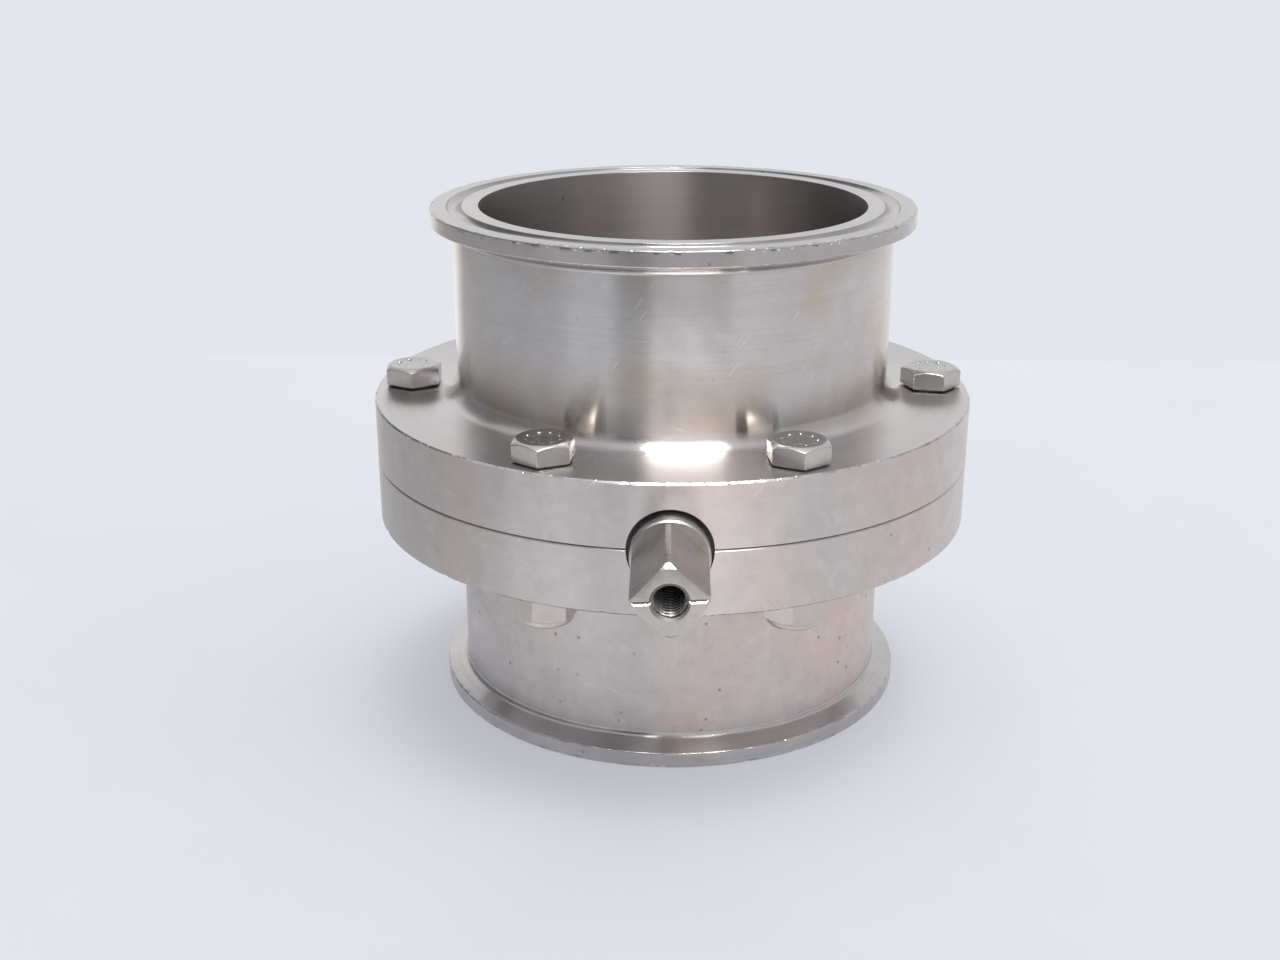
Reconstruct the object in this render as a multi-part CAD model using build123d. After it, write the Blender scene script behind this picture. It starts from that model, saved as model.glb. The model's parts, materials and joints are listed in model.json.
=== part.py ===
from build123d import *
import os
from math import cos, radians, sin, tan

# Hygienic butterfly valve with clamp ferrules, for 3 inch tube. Units are millimetres.
# The origin is the centre of the lower end face. +Z is the flow axis, and the drive stem leaves along -Y.
# The disc is modelled closed, across the flow.

# ---- Driving dimensions ----
face_to_face = 94.6
bore_r = 36.4
neck_r = 41.45

ferrule_r = 45.45
ferrule_rim = 2.85          # straight part of the rim, before the taper
ferrule_taper = 20.0        # degrees, the clamp's angle
ferrule_neck_fillet = 1.2
ferrule_edge = 0.3
gasket_groove_r = 40.95
gasket_groove_width = 2.9
gasket_groove_depth = 1.2

flange_r = 57.25
flange_thickness = 11.8     # of each half
flange_fillet = 3.0
flange_edge = 0.3           # chamfer on the outer edge away from the joint
joint_edge = 0.25           # chamfer on the outer edge at the joint

bolt_circle_r = 50.3
bolt_angles = (-115.3, -64.7, 0.0, 64.7, 115.3, 180.0)
bolt_turns = (24.0, 36.0, 49.0, 12.0, 5.0, 33.0)    # where each head's corners stand
nut_turns = (9.7, 25.0, 40.0, 18.0, 52.0, 33.0)
bolt_hole_r = 3.3
thread_r = 3.0              # M6
hex_flats = 10.0
head_height = 3.9
head_face_r = 4.5           # where the corner cut meets the top
head_dish_r = 3.6
head_dish_floor_r = 2.4
head_dish_depth = 0.25
hex_corner_cut = 30.0       # degrees, on heads and nuts
washer_face = 0.3           # raised bearing face under a head or a nut
washer_face_r = 4.7
bolt_length = 30.0
bolt_tip = 0.7              # chamfer on the end of the shank
nut_height = 5.9
nut_hex_height = 4.8
nut_collar_r = 4.75
nut_collar_round = 0.6
nut_mouth_r = 3.65          # opening in the metal rolled over the insert
insert_r = 4.0
insert_height = 1.4
insert_lip = 0.25           # nut metal rolled over the insert

seat_bore_r = 36.05
seat_inner_half = 8.6       # half height next to the bore
seat_outer_half = 9.6       # half height of the trapped rim
seat_step_r = 39.5
seat_outer_r = 43.5
seat_stem_hole_r = 6.8
seat_flare = 2.5            # height over which the lip leans in to the bore

journal_r = 6.7
bush_clearance = 0.05
bush_pocket_r = 7.35
bush_wall_gap = 0.03        # between bush and body
bush_collar_r = 9.1
bush_collar = 2.2
collar_pocket_r = 9.2
bush_start = 43.7           # distances along the stem axis from the valve's centre
front_bush_end = 56.2
rear_bush_end = 52.6
rear_bore_end = 53.0

disc_r = 35.8               # radius of the sphere that holds the whole disc
disc_centre_half = 4.6
disc_rim_half = 2.6
hub_r = 8.2
hub_half_length = 35.0
hub_fillet = 2.0
tang_r = 5.5
tang_flats = 8.5
tang_end = 17.0             # distance of the tang's inner end from the valve's centre
tang_gap = 0.02

trunnion_end = 52.2
stem_shoulder = 60.5
stem_end = 77.5
square_flats = 9.5
square_corner_r = 6.3       # turned radius of the square's corners
square_end_r = 5.55         # where the turned end chamfer starts on the end face
square_tilt = 3.0           # degrees, how far the square stands off the disc's plane
tapping_depth = 16.0
tapping_countersink = 0.2
pointer_width = 0.7         # of the 90 degree groove across the end
drill_point = 30.0          # degrees, at the bottom of the tapping
shoulder_chamfer = 0.25

joint_z = face_to_face / 2
seat_clearance = 0.05       # between the seat ring and its pocket
bore_overlap = 1.5          # how far the stem bores reach into the seat pocket
margin = 1.0                # how far a cutting shape runs past what it cuts


def rounded(profile, corners):
    """Round the listed corners, each given as a point and a radius, of a flat profile."""
    for point, radius in corners:
        corner = profile.vertices().sort_by_distance((point[0], point[1], 0))[0]
        profile = fillet(corner, radius)
    return profile


def turned(points, corners=()):
    """Turn an outline of (radius, height) points about the Z axis."""
    profile = rounded(make_face(Polyline(*points, close=True)), corners)
    return revolve(Plane.XZ * profile, Axis.Z)


def along_stem(shape, rear=False):
    """Lay a shape that was drawn along +Z from the valve's centre on the stem axis."""
    return Pos(0, 0, joint_z) * Rot(-90 if rear else 90, 0, 0) * shape


def rod(radius, start, end):
    """A plain cylinder along Z, from one height to another."""
    return Pos(0, 0, start) * extrude(Circle(radius), end - start)


def bolt_place(angle, height):
    """The place on the bolt circle at an angle and a height."""
    return Pos(bolt_circle_r * cos(radians(angle)), bolt_circle_r * sin(radians(angle)), height)


def lower_body():
    """Lower half: clamp ferrule, neck, flange, seat pocket, split stem bores and bolt holes."""
    taper_drop = (ferrule_r - neck_r) * tan(radians(ferrule_taper))
    flange_bottom = joint_z - flange_thickness
    rim_top = (ferrule_r, ferrule_rim)
    neck_bottom = (neck_r, ferrule_rim + taper_drop)
    neck_top = (neck_r, flange_bottom)
    outline = [
        (bore_r, 0),
        (ferrule_r, 0),
        rim_top,
        neck_bottom,
        neck_top,
        (flange_r - flange_edge, flange_bottom),
        (flange_r, flange_bottom + flange_edge),
        (flange_r, joint_z - joint_edge),
        (flange_r - joint_edge, joint_z),
        (seat_outer_r, joint_z),
        (seat_outer_r, joint_z - seat_outer_half),
        (seat_step_r, joint_z - seat_outer_half),
        (seat_step_r, joint_z - seat_inner_half),
        (bore_r, joint_z - seat_inner_half),
    ]
    corners = [
        ((ferrule_r, 0), ferrule_edge),
        (rim_top, ferrule_edge),
        (neck_bottom, ferrule_neck_fillet),
        (neck_top, flange_fillet),
    ]
    body = turned(outline, corners)

    # The gasket groove in the end face is an arc of the stated width and depth.
    half_width = gasket_groove_width / 2
    arc_r = (half_width**2 + gasket_groove_depth**2) / (2 * gasket_groove_depth)
    groove = Pos(gasket_groove_r, gasket_groove_depth - arc_r) * Circle(arc_r)
    body -= revolve(Plane.XZ * groove, Axis.Z)

    for angle in bolt_angles:
        body -= bolt_place(angle, flange_bottom) * extrude(Circle(bolt_hole_r), flange_thickness)

    pocket_start = seat_outer_r - bore_overlap
    collar_end = bush_start + bush_collar + bush_wall_gap
    body -= along_stem(rod(collar_pocket_r, pocket_start, collar_end))
    body -= along_stem(rod(bush_pocket_r, pocket_start, flange_r + margin))
    body -= along_stem(rod(collar_pocket_r, pocket_start, collar_end), rear=True)
    body -= along_stem(rod(bush_pocket_r, pocket_start, rear_bore_end), rear=True)
    return body


def seat_ring():
    """Elastomer ring trapped in the pocket of both halves, with a hole for each stem."""
    inner_half = seat_inner_half - seat_clearance
    outer_half = seat_outer_half - seat_clearance
    outer_r = seat_outer_r - seat_clearance
    step_r = seat_step_r + seat_clearance
    outline = [
        (seat_bore_r, joint_z - inner_half + seat_flare),
        (bore_r, joint_z - inner_half),
        (step_r, joint_z - inner_half),
        (step_r, joint_z - outer_half),
        (outer_r, joint_z - outer_half),
        (outer_r, joint_z + outer_half),
        (step_r, joint_z + outer_half),
        (step_r, joint_z + inner_half),
        (bore_r, joint_z + inner_half),
        (seat_bore_r, joint_z + inner_half - seat_flare),
    ]
    ring = turned(outline)
    for rear in (False, True):
        ring -= along_stem(rod(seat_stem_hole_r, hub_half_length - margin, seat_outer_r + margin), rear)
    return ring


def bush(end):
    """Collared bush round a journal, drawn along +Z."""
    sleeve = rod(bush_pocket_r - bush_wall_gap, bush_start, end)
    collar = rod(bush_collar_r, bush_start, bush_start + bush_collar)
    return sleeve + collar - rod(journal_r + bush_clearance, bush_start, end)


def tang(radius, flats, start, end):
    """A round tang with two flats, drawn along +Z."""
    flat_sides = Pos(0, 0, (start + end) / 2) * Box(2 * radius, flats, end - start)
    return rod(radius, start, end) & flat_sides


def disc():
    """Lens-shaped flap with a hub along the stem axis, all inside one sphere."""
    plate_r = disc_r + margin
    plate = turned([
        (0, joint_z - disc_centre_half),
        (plate_r, joint_z - disc_rim_half),
        (plate_r, joint_z + disc_rim_half),
        (0, joint_z + disc_centre_half),
    ])
    hub = along_stem(rod(hub_r, -hub_half_length, hub_half_length))
    flap = plate + hub
    crossing = [
        edge for edge in flap.edges()
        if edge.length > disc_r / 2 and disc_rim_half < abs(edge.center().X) < hub_r
    ]
    flap = fillet(crossing, hub_fillet)
    flap &= Pos(0, 0, joint_z) * Sphere(disc_r)
    socket = tang(tang_r + tang_gap, tang_flats + 2 * tang_gap, tang_end - tang_gap, hub_half_length + margin)
    socket += rod(journal_r + tang_gap, hub_half_length, disc_r + margin)
    return flap - along_stem(socket) - along_stem(socket, rear=True)


def drive_stem():
    """Front stem: tang, journal, square end with turned corners, pointer groove and tapped hole."""
    journal = turned([
        (0, hub_half_length),
        (journal_r, hub_half_length),
        (journal_r, stem_shoulder - shoulder_chamfer),
        (journal_r - shoulder_chamfer, stem_shoulder),
        (0, stem_shoulder),
    ])
    stem = tang(tang_r, tang_flats, tang_end, hub_half_length) + journal
    end_chamfer = square_corner_r - square_end_r
    square_base = Pos(0, 0, stem_shoulder) * Rectangle(square_flats, square_flats)
    square = extrude(square_base, stem_end - stem_shoulder)
    corners = turned([
        (0, stem_shoulder),
        (square_corner_r, stem_shoulder),
        (square_corner_r, stem_end - end_chamfer),
        (square_end_r, stem_end),
        (0, stem_end),
    ])
    pointer_side = pointer_width * cos(radians(45))
    pointer = Pos(0, 0, stem_end) * Rot(45, 0, 0) * Box(4 * journal_r, pointer_side, pointer_side)
    end = Rot(0, 0, 45) * square & corners
    stem += Rot(0, 0, square_tilt) * (end - pointer)
    tapping = turned([
        (0, stem_end - tapping_depth - thread_r * tan(radians(drill_point))),
        (thread_r, stem_end - tapping_depth),
        (thread_r, stem_end - tapping_countersink),
        (thread_r + tapping_countersink, stem_end),
        (0, stem_end),
    ])
    return along_stem(stem - tapping)


def trunnion():
    """Rear stem: tang and journal, in the blind bore."""
    stem = tang(tang_r, tang_flats, tang_end, hub_half_length) + rod(journal_r, hub_half_length, trunnion_end)
    return along_stem(stem, rear=True)


def hexagon(height):
    """A hexagonal prism with one corner on the X axis."""
    return extrude(RegularPolygon(hex_flats / 2, 6, major_radius=False), height)


def corner_cut(face_r, height):
    """The turned shape that takes the corners off a hexagon's upper end."""
    far_r = hex_flats
    far_height = height - (far_r - face_r) * tan(radians(hex_corner_cut))
    return turned([(0, 0), (far_r, 0), (far_r, far_height), (face_r, height), (0, height)])


def bolt():
    """Hex head bolt, its bearing face at height 0 and its shank down."""
    hex_part = head_height - washer_face
    head = Pos(0, 0, washer_face) * (hexagon(hex_part) & corner_cut(head_face_r, hex_part))
    head += rod(washer_face_r, 0, washer_face)
    dish_floor = head_height - head_dish_depth
    dish = turned([
        (0, dish_floor),
        (head_dish_floor_r, dish_floor),
        (head_dish_r, head_height),
        (0, head_height),
    ])
    shank = turned([
        (0, -bolt_length),
        (thread_r - bolt_tip, -bolt_length),
        (thread_r, -bolt_length + bolt_tip),
        (thread_r, 0),
        (0, 0),
    ])
    return head - dish + shank


def nut():
    """Lock nut with a rounded collar, its bearing face at height 0 and its collar down."""
    hex_part = nut_hex_height - washer_face
    body = Pos(0, 0, -washer_face) * Rot(180, 0, 0) * (hexagon(hex_part) & corner_cut(nut_collar_r, hex_part))
    body += rod(washer_face_r, -washer_face, 0)
    collar_outline = [
        (0, -nut_height),
        (nut_collar_r, -nut_height),
        (nut_collar_r, -nut_hex_height),
        (0, -nut_hex_height),
    ]
    body += turned(collar_outline, [((nut_collar_r, -nut_height), nut_collar_round)])
    body -= rod(thread_r, -nut_height, 0)
    recess_bottom = -nut_height + insert_lip
    body -= rod(insert_r, recess_bottom, recess_bottom + insert_height)
    return body - rod(nut_mouth_r, -nut_height, recess_bottom)


def nut_insert():
    """Polymer locking ring held in a nut's collar, in the nut's own frame."""
    bottom = -nut_height + insert_lip
    return rod(insert_r, bottom, bottom + insert_height) - rod(thread_r, bottom, bottom + insert_height)


def build():
    """Every node of the valve, by name."""
    lower = lower_body()
    nodes = {
        "lower_body": lower,
        "upper_body": mirror(lower, about=Plane.XY.offset(joint_z)),
        "seat_ring": seat_ring(),
        "front_bush": along_stem(bush(front_bush_end)),
        "rear_bush": along_stem(bush(rear_bush_end), rear=True),
        "disc": disc(),
        "drive_stem": drive_stem(),
        "trunnion": trunnion(),
    }
    for number, angle in enumerate(bolt_angles):
        turn = Rot(0, 0, bolt_turns[number])
        nut_turn = Rot(0, 0, nut_turns[number])
        under_head = bolt_place(angle, joint_z + flange_thickness)
        under_flange = bolt_place(angle, joint_z - flange_thickness)
        nodes[f"bolt_{number + 1}"] = under_head * turn * bolt()
        nodes[f"nut_{number + 1}"] = under_flange * nut_turn * nut()
        nodes[f"nut_insert_{number + 1}"] = under_flange * nut_turn * nut_insert()
    return nodes


os.makedirs("parts", exist_ok=True)
for name, shape in build().items():
    export_step(shape, f"parts/{name}.step")
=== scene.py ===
import json
import math
import random

import bmesh
import bpy
from mathutils import Matrix, Vector


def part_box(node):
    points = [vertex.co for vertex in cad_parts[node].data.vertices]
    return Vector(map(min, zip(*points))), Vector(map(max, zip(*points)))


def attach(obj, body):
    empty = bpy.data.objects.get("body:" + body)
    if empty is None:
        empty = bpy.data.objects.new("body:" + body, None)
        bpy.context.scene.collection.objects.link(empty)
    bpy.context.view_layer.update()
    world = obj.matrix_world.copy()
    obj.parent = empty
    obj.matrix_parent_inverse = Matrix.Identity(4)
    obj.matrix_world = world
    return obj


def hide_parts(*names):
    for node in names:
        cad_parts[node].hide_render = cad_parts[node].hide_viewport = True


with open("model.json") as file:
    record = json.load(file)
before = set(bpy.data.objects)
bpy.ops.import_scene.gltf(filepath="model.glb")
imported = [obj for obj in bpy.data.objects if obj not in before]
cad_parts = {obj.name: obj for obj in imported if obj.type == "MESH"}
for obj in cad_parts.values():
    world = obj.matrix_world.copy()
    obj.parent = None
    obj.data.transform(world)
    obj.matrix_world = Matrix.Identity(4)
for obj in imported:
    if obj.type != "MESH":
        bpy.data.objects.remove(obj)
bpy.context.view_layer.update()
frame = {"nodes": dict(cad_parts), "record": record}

# ---------------------------------------------------------------------------
# Sizes, in metres. What the frame holds is read from it; the rest repeats the CAD's named dimensions.
# ---------------------------------------------------------------------------
mm = 0.001
MOUNTS = {m["name"]: m for m in frame["record"]["mounts"]}
BORE_R = MOUNTS["lower_port"]["dims"]["r_mm"] * mm
RIM_R = MOUNTS["lower_clamp_rim"]["dims"]["r_mm"] * mm
HEIGHT = MOUNTS["upper_port"]["pos_m"][2]
JOINT_Z = HEIGHT / 2
FLANGE_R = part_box("lower_body")[1].x
NECK_R = 41.45 * mm
RIM_STRAIGHT = 2.85 * mm
RIM_TAPER = math.radians(20)
NECK_FILLET = 1.2 * mm
RIM_EDGE = 0.3 * mm
GASKET_R = 40.95 * mm
GASKET_WIDTH = 2.9 * mm
GASKET_DEPTH = 1.2 * mm
GASKET_EDGE = 0.1 * mm
BORE_EDGE = 0.12 * mm
FLANGE_THICK = 11.8 * mm
FLANGE_FILLET = 3.0 * mm
FLANGE_EDGE = 0.3 * mm
JOINT_EDGE = 0.25 * mm
BOLT_HOLE_R = 3.3 * mm
SEAT_OUTER_R = 43.5 * mm
SEAT_STEP_R = 39.5 * mm
SEAT_OUTER_HALF = 9.6 * mm
SEAT_INNER_HALF = 8.6 * mm
BUSH_POCKET_R = 7.35 * mm
COLLAR_POCKET_R = 9.2 * mm
COLLAR_POCKET_END = 45.93 * mm
REAR_BORE_END = 53.0 * mm
STEM_POCKET_START = 42.0 * mm

DISC_R = 35.8 * mm
DISC_CENTRE_HALF = 4.6 * mm
DISC_RIM_HALF = 2.6 * mm
DISC_BLEND = 1.2 * mm
DISC_STEP = 0.6 * mm
DISC_RIM_SHARES = (1.12, 1.0, 0.85, 0.65, 0.45, 0.25, 0.1)
HUB_R = 8.2 * mm
HUB_HALF = 35.0 * mm
JOURNAL_R = 6.7 * mm
TANG_END = 17.0 * mm
SHOULDER = 60.5 * mm
SHOULDER_EDGE = 0.25 * mm
STEM_END = 77.5 * mm
SQUARE_FLATS = 9.5 * mm
SQUARE_CORNER_R = 6.3 * mm
SQUARE_END_R = 5.55 * mm
SQUARE_TILT = math.radians(3)
TAPPING_R = 3.0 * mm
TAPPING_CREST_R = 2.52 * mm
TAPPING_DEPTH = 15.8 * mm
TAPPING_PITCH = 1.0 * mm
TAPPING_CONE = 0.2 * mm
TAPPING_POINT = 1.5 * mm
THREAD_FLAT = 0.12
THREAD_STEP = 0.1 * mm
SQUARE_SOFT = 0.10 * mm
POINTER_WIDTH = 0.7 * mm
POINTER_REACH = 9.0 * mm

HEX_FLATS = 10.0 * mm
HEX_CUT = math.radians(30)
HEAD_HEIGHT = 3.9 * mm
HEAD_FACE_R = 4.5 * mm
HEAD_DISH_R = 3.6 * mm
HEAD_DISH_FLOOR_R = 2.4 * mm
HEAD_DISH_DEPTH = 0.25 * mm
HEAD_SOFT = 0.13 * mm
MARK_ROOT = 0.12 * mm
WASHER_FACE = 0.3 * mm
WASHER_FACE_R = 4.7 * mm
WASHER_ROOT = 0.5 * mm
SHANK_R = 3.0 * mm
SHANK_ROOT_R = 2.45 * mm
SHANK_LENGTH = 30.0 * mm
THREAD_START = 18.0 * mm
SHANK_TIP = 0.7 * mm
NUT_HEIGHT = 5.9 * mm
NUT_HEX = 4.8 * mm
NUT_COLLAR_R = 4.75 * mm
NUT_COLLAR_ROUND = 0.6 * mm
NUT_SOFT = 0.1 * mm
NUT_MOUTH_R = 3.65 * mm
INSERT_R = 4.0 * mm
INSERT_HEIGHT = 1.4 * mm
INSERT_LIP = 0.25 * mm
BOLT_TURNS = (24.0, 36.0, 49.0, 12.0, 5.0, 33.0)
NUT_TURNS = (9.7, 25.0, 40.0, 18.0, 52.0, 33.0)

BOLT_NUMBERS = range(1, 7)

BODY_SEGMENTS = 480
STEM_SEGMENTS = 192
CONE_SEGMENTS = 120
SHANK_SEGMENTS = 48
SHANK_ROWS = 248
HOLE_SEGMENTS = 160
ROD_SEGMENTS = 96
MARK_SEGMENTS = 20
DISC_SEGMENTS = 384
RING_SEGMENTS = 64
SHARP = math.radians(24)
SPARE = 1.0 * mm            # how far a cutting tool stands past the face it cuts
HAIR = 0.01 * mm            # two heights closer than this are the same

DENT_REACH = 0.45 * mm       # small dents move only the points this near to an edge
DENT_WIDTHS = (0.3, 0.9)    # the least and the most, in mm
DENT_DEPTHS = (0.04, 0.12)
DENT_GUARD = 0.8 * mm       # an extra loop this far from a dented edge keeps the rest flat
LOWER_SEED = 3
UPPER_SEED = 8

# ---------------------------------------------------------------------------
# Mesh helpers
# ---------------------------------------------------------------------------


def rounded_outline(points, steps=7):
    """Round the corners of an outline of (radius, height) or (radius, height, rounding) points."""
    outline = []
    count = len(points)
    for i, point in enumerate(points):
        here = Vector(point[:2])
        if len(point) == 2:
            outline.append(here)
            continue
        before = (Vector(points[i - 1][:2]) - here).normalized()
        after = (Vector(points[(i + 1) % count][:2]) - here).normalized()
        half = before.angle(after) / 2
        centre = here + (before + after).normalized() * (point[2] / math.sin(half))
        reach = point[2] / math.tan(half)
        start = here + before * reach - centre
        end = here + after * reach - centre
        sweep = start.angle(end)
        for k in range(steps + 1):
            share = k / steps
            turned = start * math.sin((1 - share) * sweep) + end * math.sin(share * sweep)
            outline.append(centre + turned / math.sin(sweep))
    return outline


def new_object(name, verts, faces):
    mesh = bpy.data.meshes.new(name)
    mesh.from_pydata(verts, [], faces)
    bm = bmesh.new()
    bm.from_mesh(mesh)
    bmesh.ops.remove_doubles(bm, verts=bm.verts, dist=1e-8)
    bmesh.ops.dissolve_degenerate(bm, dist=1e-8, edges=bm.edges)
    bmesh.ops.recalc_face_normals(bm, faces=bm.faces)
    bm.to_mesh(mesh)
    bm.free()
    made = bpy.data.objects.new(name, mesh)
    bpy.context.scene.collection.objects.link(made)
    return made


def lathe(name, outline, segments):
    """Turn a closed outline of (radius, height) points about Z."""
    verts = []
    faces = []
    count = len(outline)
    for s in range(segments):
        angle = 2 * math.pi * s / segments
        for r, z in outline:
            verts.append((r * math.cos(angle), r * math.sin(angle), z))
        t = (s + 1) % segments
        for i in range(count):
            j = (i + 1) % count
            faces.append((s * count + i, t * count + i, t * count + j, s * count + j))
    return new_object(name, verts, faces)


def rod(name, radius, start, end, segments=ROD_SEGMENTS):
    """A solid cylinder along Z."""
    return lathe(name, [(0, start), (radius, start), (radius, end), (0, end)], segments)


def prism(name, corners, start, end):
    """A straight prism along Z over a polygon of (x, y) corners."""
    count = len(corners)
    verts = [(x, y, start) for x, y in corners] + [(x, y, end) for x, y in corners]
    faces = [tuple(range(count - 1, -1, -1)), tuple(range(count, 2 * count))]
    for i in range(count):
        j = (i + 1) % count
        faces.append((i, j, count + j, count + i))
    return new_object(name, verts, faces)


def square_corners(half):
    return [(half, half), (-half, half), (-half, -half), (half, -half)]


def rough_tube(name, radius_at, start, end, segments, rows, low_cap, high_cap):
    """A rod along Z of radius radius_at(share of a turn, height), with a centre point at each end."""
    verts = []
    faces = []
    for j in range(rows + 1):
        z = start + (end - start) * j / rows
        for i in range(segments):
            r = radius_at(i / segments, z)
            angle = 2 * math.pi * i / segments
            verts.append((r * math.cos(angle), r * math.sin(angle), z))
    for j in range(rows):
        for i in range(segments):
            k = (i + 1) % segments
            low = j * segments
            high = low + segments
            faces.append((low + i, low + k, high + k, high + i))
    verts += [(0, 0, low_cap), (0, 0, high_cap)]
    for i in range(segments):
        k = (i + 1) % segments
        faces.append((k, i, len(verts) - 2))
        faces.append((rows * segments + i, rows * segments + k, len(verts) - 1))
    return new_object(name, verts, faces)


def drop(thing):
    """Delete an object and its mesh."""
    mesh = thing.data
    bpy.data.objects.remove(thing)
    bpy.data.meshes.remove(mesh)


def settle(thing):
    """Apply every modifier."""
    graph = bpy.context.evaluated_depsgraph_get()
    old = thing.data
    fresh = bpy.data.meshes.new_from_object(thing.evaluated_get(graph))
    thing.modifiers.clear()
    thing.data = fresh
    bpy.data.meshes.remove(old)
    return thing


def combine(base, tool, operation="DIFFERENCE"):
    """Boolean of two closed solids. The tool is used up."""
    step = base.modifiers.new("step", "BOOLEAN")
    step.object = tool
    step.operation = operation
    step.solver = "EXACT"
    settle(base)
    drop(tool)
    return base


def merged(things):
    """Put disjoint solids in one object."""
    bm = bmesh.new()
    for thing in things:
        bm.from_mesh(thing.data)
    mesh = bpy.data.meshes.new("merged")
    bm.to_mesh(mesh)
    bm.free()
    for thing in things:
        drop(thing)
    made = bpy.data.objects.new("merged", mesh)
    bpy.context.scene.collection.objects.link(made)
    return made


def moved(thing, matrix):
    """Move the mesh itself, and keep its normals outward when the matrix mirrors."""
    thing.data.transform(matrix)
    if matrix.determinant() < 0:
        thing.data.flip_normals()
    return thing


def soften(thing, width, steps=3):
    """Round the sharp edges of a simple solid by a small width."""
    bevel = thing.modifiers.new("edges", "BEVEL")
    bevel.width = width
    bevel.segments = steps
    bevel.limit_method = "ANGLE"
    bevel.angle_limit = SHARP
    return settle(thing)


def finish_mesh(thing):
    """Smooth shading with true sharp edges."""
    mesh = thing.data
    mesh.shade_smooth()
    mesh.set_sharp_from_angle(angle=SHARP)
    weights = thing.modifiers.new("normals", "WEIGHTED_NORMAL")
    weights.keep_sharp = True
    return thing


def paint(thing, materials, rule):
    """Give each face the material that rule(face centre, face normal) names."""
    mesh = thing.data
    mesh.materials.clear()
    names = list(materials)
    for name in names:
        mesh.materials.append(materials[name])
    for face in mesh.polygons:
        face.material_index = names.index(rule(face.center, face.normal))


# ---------------------------------------------------------------------------
# Shader graph helpers
# ---------------------------------------------------------------------------


class Graph:
    """A short way to write a node tree: each call adds a node and returns its output socket."""

    def __init__(self, tree):
        self.tree = tree
        tree.nodes.clear()

    def node(self, kind, inputs=None, **settings):
        made = self.tree.nodes.new(kind)
        for key, value in settings.items():
            setattr(made, key, value)
        for key, value in (inputs or {}).items():
            if isinstance(value, bpy.types.NodeSocket):
                self.tree.links.new(value, made.inputs[key])
            else:
                made.inputs[key].default_value = value
        return made

    def math(self, operation, a, b=0.0, c=0.0):
        return self.node("ShaderNodeMath", {0: a, 1: b, 2: c}, operation=operation).outputs[0]

    def vector(self, x, y, z):
        return self.node("ShaderNodeCombineXYZ", {0: x, 1: y, 2: z}).outputs[0]

    def split(self, vector):
        return self.node("ShaderNodeSeparateXYZ", {0: vector}).outputs

    def scaled(self, vector, factors):
        return self.node("ShaderNodeVectorMath", {0: vector, 1: factors}, operation="MULTIPLY").outputs[0]

    def noise(self, vector, scale, detail=2.0, roughness=0.5):
        inputs = {"Vector": vector, "Scale": scale, "Detail": detail, "Roughness": roughness}
        return self.node("ShaderNodeTexNoise", inputs).outputs[0]

    def between(self, value, low, high, to_low=0.0, to_high=1.0):
        inputs = {0: value, 1: low, 2: high, 3: to_low, 4: to_high}
        return self.node("ShaderNodeMapRange", inputs, interpolation_type="SMOOTHSTEP").outputs[0]

    def mix(self, factor, a, b):
        return self.node("ShaderNodeMix", {0: factor, 6: a, 7: b}, data_type="RGBA").outputs[2]

    def ramp(self, factor, stops):
        made = self.node("ShaderNodeValToRGB", {0: factor})
        points = made.color_ramp.elements
        while len(points) < len(stops):
            points.new(0.5)
        for point, (place, colour) in zip(points, stops):
            point.position = place
            point.color = (*colour, 1)
        return made.outputs[0]

    def product(self, a, b):
        return self.math("MULTIPLY", a, b)

    def sum(self, a, b):
        return self.math("ADD", a, b)

    def place(self):
        return self.node("ShaderNodeTexCoord").outputs["Object"]

    def radius(self, x, y):
        return self.math("SQRT", self.sum(self.product(x, x), self.product(y, y)))

    def bump(self, height, strength, distance):
        inputs = {"Height": height, "Strength": strength, "Distance": distance}
        return self.node("ShaderNodeBump", inputs).outputs[0]

    def surface(self, kind, inputs):
        self.node("ShaderNodeOutputMaterial", {0: self.node(kind, inputs).outputs[0]})


def material(name):
    """A new material and the graph to write it with."""
    made = bpy.data.materials.new(name)
    made.use_nodes = True
    return made, Graph(made.node_tree)


def shade(colour, factor):
    """The same colour, lighter or darker."""
    return (*[min(1.0, c * factor) for c in colour], 1)


STRAW = (0.50, 0.41, 0.25, 1)
HEAT = (0.50, 0.425, 0.33, 1)
HEAT_BY_FLANGE = (30 * mm, 16 * mm)     # from the parting plane: where the heat tint starts and is full
HEAT_BY_RIM = (37 * mm, 42 * mm)
PIT = (0.17, 0.14, 0.13, 1)
RUST = (0.18, 0.11, 0.085, 1)
# painted glint: near-white for the bright chips on the ferrule ends
CHIP_GLINT_WHITE = (0.92, 0.91, 0.90, 1)
PIT_SCALE = 130.0
FLECK_SCALE = 420.0
# Noise patterns: scale, detail, roughness.
CLOUD = (55.0, 5.0, 0.6)
SMALL_CLOUD = (330.0, 4.0, 0.62)
PATCH = (21.0, 3.0, 0.55)
SPECK = (900.0, 3.0, 0.7)
GRAIN = (1500.0, 3.0, 0.7)
RAGGED = (90.0, 3.0, 0.5)
WANDER = (30.0, 2.0, 0.5)
NICK = (540.0, 2.0, 0.6)
NICK_DIRT = (300.0, 3.0, 0.6)
CHIP = (620.0, 2.0, 0.6)
CHIP_DIRT = (410.0, 2.0, 0.5)
MOULD_CLOUD = (70.0, 4.0, 0.5)
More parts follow.
